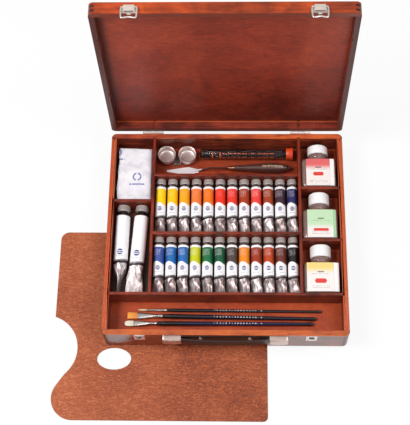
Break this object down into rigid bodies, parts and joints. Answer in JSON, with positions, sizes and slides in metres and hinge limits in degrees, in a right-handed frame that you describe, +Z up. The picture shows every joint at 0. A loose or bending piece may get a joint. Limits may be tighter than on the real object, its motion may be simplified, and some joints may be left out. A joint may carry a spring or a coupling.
{
  "type": "art supply box",
  "caption": "Wooden artist's paint case with hinged lid, dividers, draw latches and strap handle, packed with paint tubes, bottles, brushes and knife, on its palette.",
  "frame": {"origin": "on the surface it stands on, under the centre of the case", "axes": "+X to the right, +Y to the back, +Z up; the lid stands open at the back"},
  "size_m": [0.4851, 0.515, 0.4331],
  "materials": {
    "case_wood": "stained and varnished",
    "panel_wood": "stained plywood",
    "bed_board": "plain plywood",
    "steel": "nickel plated",
    "lever_steel": "satin",
    "strap": "black, smooth",
    "backing": "black",
    "palette_board": "oiled hardboard",
    "cloth": "folded cotton",
    "dipper_steel": "spun",
    "blade_steel": "polished",
    "ferrule_brass": "polished",
    "knife_wood": "dark varnish",
    "clear_plastic": "clear",
    "charcoal": "charcoal",
    "orange_plastic": "moulded",
    "brush": "lacquered",
    "bottle_glass": "clear",
    "cap_plastic": "ribbed",
    "tube_foil": "printed aluminium"
  },
  "bodies": {
    "case": {"tray_front": "case_wood", "tray_back": "case_wood", "tray_left": "case_wood", "tray_right": "case_wood", "tray_bottom": "panel_wood", "column_dividers": "case_wood", "row_dividers": "case_wood", "side_dividers": "case_wood", "brush_divider": "case_wood", "tube_beds": "bed_board", "hinge_tray_leaves": "steel", "hinge_pins": "steel", "strikes": "steel", "handle_backing": "backing", "handle_end_caps": "steel", "tray_screws": "steel"},
    "lid": {"lid_front": "case_wood", "lid_back": "case_wood", "lid_left": "case_wood", "lid_right": "case_wood", "lid_panel": "panel_wood", "hinge_lid_leaves": "steel", "latch_plates": "steel", "latch_pins": "steel", "lid_screws": "steel"},
    "handle_grip": {"handle_grip": "strap"},
    "handle_link_left": {"handle_link_left": "strap"},
    "handle_link_right": {"handle_link_right": "strap"},
    "latch_lever_left": {"latch_lever_left": "lever_steel"},
    "latch_lever_right": {"latch_lever_right": "lever_steel"},
    "latch_loop_left": {"latch_loop_left": "steel"},
    "latch_loop_right": {"latch_loop_right": "steel"},
    "palette": {"palette": "palette_board"},
    "cloth": {"cloth_pack": "cloth"},
    "dippers": {"dippers": "dipper_steel"},
    "knife": {"knife_blade": "blade_steel", "knife_ferrule": "ferrule_brass", "knife_handle": "knife_wood"},
    "charcoal": {"charcoal_tube": "clear_plastic", "charcoal_sticks": "charcoal"},
    "charcoal_cap": {"charcoal_cap": "orange_plastic"},
    "brush_round": {"brush_round": "brush"},
    "brush_flat": {"brush_flat": "brush"},
    "brush_filbert": {"brush_filbert": "brush"},
    "bottle_back": {"bottle_back": "bottle_glass"},
    "bottle_cap_back": {"bottle_cap_back": "cap_plastic"},
    "bottle_middle": {"bottle_middle": "bottle_glass"},
    "bottle_cap_middle": {"bottle_cap_middle": "cap_plastic"},
    "bottle_front": {"bottle_front": "bottle_glass"},
    "bottle_cap_front": {"bottle_cap_front": "cap_plastic"},
    "large_tube_left": {"large_tube_left": "tube_foil"},
    "large_tube_right": {"large_tube_right": "tube_foil"},
    "tubes_yellow": {"tubes_yellow": "tube_foil"},
    "tubes_red": {"tubes_red": "tube_foil"},
    "tubes_violet": {"tubes_violet": "tube_foil"},
    "tubes_blue": {"tubes_blue": "tube_foil"},
    "tubes_green": {"tubes_green": "tube_foil"},
    "tubes_earth": {"tubes_earth": "tube_foil"}
  },
  "joints": [
    {"name": "hinge_lid", "type": "hinge", "parent": "case", "child": "lid", "pos_m": [0, 0.186, 0.058], "axis": [-1, 0, 0], "range_deg": [-90, 0]},
    {"name": "latch_lever_left", "type": "hinge", "parent": "lid", "child": "latch_lever_left", "pos_m": [-0.139, 0.19, 0.4299], "axis": [1, 0, 0], "range_deg": [0, 100]},
    {"name": "latch_loop_left", "type": "hinge", "parent": "latch_lever_left", "child": "latch_loop_left", "pos_m": [-0.139, 0.1956, 0.4301], "axis": [1, 0, 0], "range_deg": [-100, 0]},
    {"name": "latch_lever_right", "type": "hinge", "parent": "lid", "child": "latch_lever_right", "pos_m": [0.139, 0.19, 0.4299], "axis": [1, 0, 0], "range_deg": [0, 100]},
    {"name": "latch_loop_right", "type": "hinge", "parent": "latch_lever_right", "child": "latch_loop_right", "pos_m": [0.139, 0.1956, 0.4301], "axis": [1, 0, 0], "range_deg": [-100, 0]},
    {"name": "grip_pull", "type": "slide", "parent": "case", "child": "handle_grip", "axis": [0, -1, 0], "range_m": [0, 0.008]},
    {"name": "grip_link_left", "type": "hinge", "parent": "handle_grip", "child": "handle_link_left", "pos_m": [-0.048, -0.19, 0.0435], "axis": [0, 0, 1], "range_deg": [-17.2, 0]},
    {"name": "grip_link_right", "type": "hinge", "parent": "handle_grip", "child": "handle_link_right", "pos_m": [0.048, -0.19, 0.0435], "axis": [0, 0, 1], "range_deg": [0, 17.2]},
    {"name": "draw_palette", "type": "slide", "parent": "case", "child": "palette", "axis": [-1, 0, 0], "range_m": [0, 0.3]},
    {"name": "lift_cloth", "type": "slide", "parent": "case", "child": "cloth", "axis": [0, 0, 1], "range_m": [0, 0.06]},
    {"name": "lift_dippers", "type": "slide", "parent": "case", "child": "dippers", "axis": [0, 0, 1], "range_m": [0, 0.06]},
    {"name": "lift_knife", "type": "slide", "parent": "case", "child": "knife", "axis": [0, 0, 1], "range_m": [0, 0.06]},
    {"name": "lift_charcoal", "type": "slide", "parent": "case", "child": "charcoal", "axis": [0, 0, 1], "range_m": [0, 0.06]},
    {"name": "lift_brush_round", "type": "slide", "parent": "case", "child": "brush_round", "axis": [0, 0, 1], "range_m": [0, 0.06]},
    {"name": "lift_brush_flat", "type": "slide", "parent": "case", "child": "brush_flat", "axis": [0, 0, 1], "range_m": [0, 0.06]},
    {"name": "lift_brush_filbert", "type": "slide", "parent": "case", "child": "brush_filbert", "axis": [0, 0, 1], "range_m": [0, 0.06]},
    {"name": "lift_bottle_back", "type": "slide", "parent": "case", "child": "bottle_back", "axis": [0, 0, 1], "range_m": [0, 0.06]},
    {"name": "lift_bottle_middle", "type": "slide", "parent": "case", "child": "bottle_middle", "axis": [0, 0, 1], "range_m": [0, 0.06]},
    {"name": "lift_bottle_front", "type": "slide", "parent": "case", "child": "bottle_front", "axis": [0, 0, 1], "range_m": [0, 0.06]},
    {"name": "lift_large_tube_left", "type": "slide", "parent": "case", "child": "large_tube_left", "axis": [0, 0, 1], "range_m": [0, 0.06]},
    {"name": "lift_large_tube_right", "type": "slide", "parent": "case", "child": "large_tube_right", "axis": [0, 0, 1], "range_m": [0, 0.06]},
    {"name": "lift_tubes_yellow", "type": "slide", "parent": "case", "child": "tubes_yellow", "axis": [0, 0, 1], "range_m": [0, 0.06]},
    {"name": "lift_tubes_red", "type": "slide", "parent": "case", "child": "tubes_red", "axis": [0, 0, 1], "range_m": [0, 0.06]},
    {"name": "lift_tubes_violet", "type": "slide", "parent": "case", "child": "tubes_violet", "axis": [0, 0, 1], "range_m": [0, 0.06]},
    {"name": "lift_tubes_blue", "type": "slide", "parent": "case", "child": "tubes_blue", "axis": [0, 0, 1], "range_m": [0, 0.06]},
    {"name": "lift_tubes_green", "type": "slide", "parent": "case", "child": "tubes_green", "axis": [0, 0, 1], "range_m": [0, 0.06]},
    {"name": "lift_tubes_earth", "type": "slide", "parent": "case", "child": "tubes_earth", "axis": [0, 0, 1], "range_m": [0, 0.06]},
    {"name": "turn_charcoal_cap", "type": "hinge", "parent": "charcoal", "child": "charcoal_cap", "pos_m": [0.11, 0.158, 0.0294], "axis": [1, 0, 0], "continuous": true},
    {"name": "turn_bottle_cap_back", "type": "hinge", "parent": "bottle_back", "child": "bottle_cap_back", "pos_m": [0.1581, 0, 0.0363], "axis": [0, 1, 0], "continuous": true},
    {"name": "turn_bottle_cap_middle", "type": "hinge", "parent": "bottle_middle", "child": "bottle_cap_middle", "pos_m": [0.1581, 0, 0.0363], "axis": [0, 1, 0], "continuous": true},
    {"name": "turn_bottle_cap_front", "type": "hinge", "parent": "bottle_front", "child": "bottle_cap_front", "pos_m": [0.1581, 0, 0.0363], "axis": [0, 1, 0], "continuous": true}
  ],
  "couplings": [
    {"joint": "latch_loop_left", "follows": "latch_lever_left", "ratio": -1},
    {"joint": "latch_loop_right", "follows": "latch_lever_right", "ratio": -1},
    {"joint": "grip_link_right", "follows": "grip_pull", "rad_per_m": 37.07},
    {"joint": "grip_link_left", "follows": "grip_pull", "rad_per_m": -37.07}
  ]
}
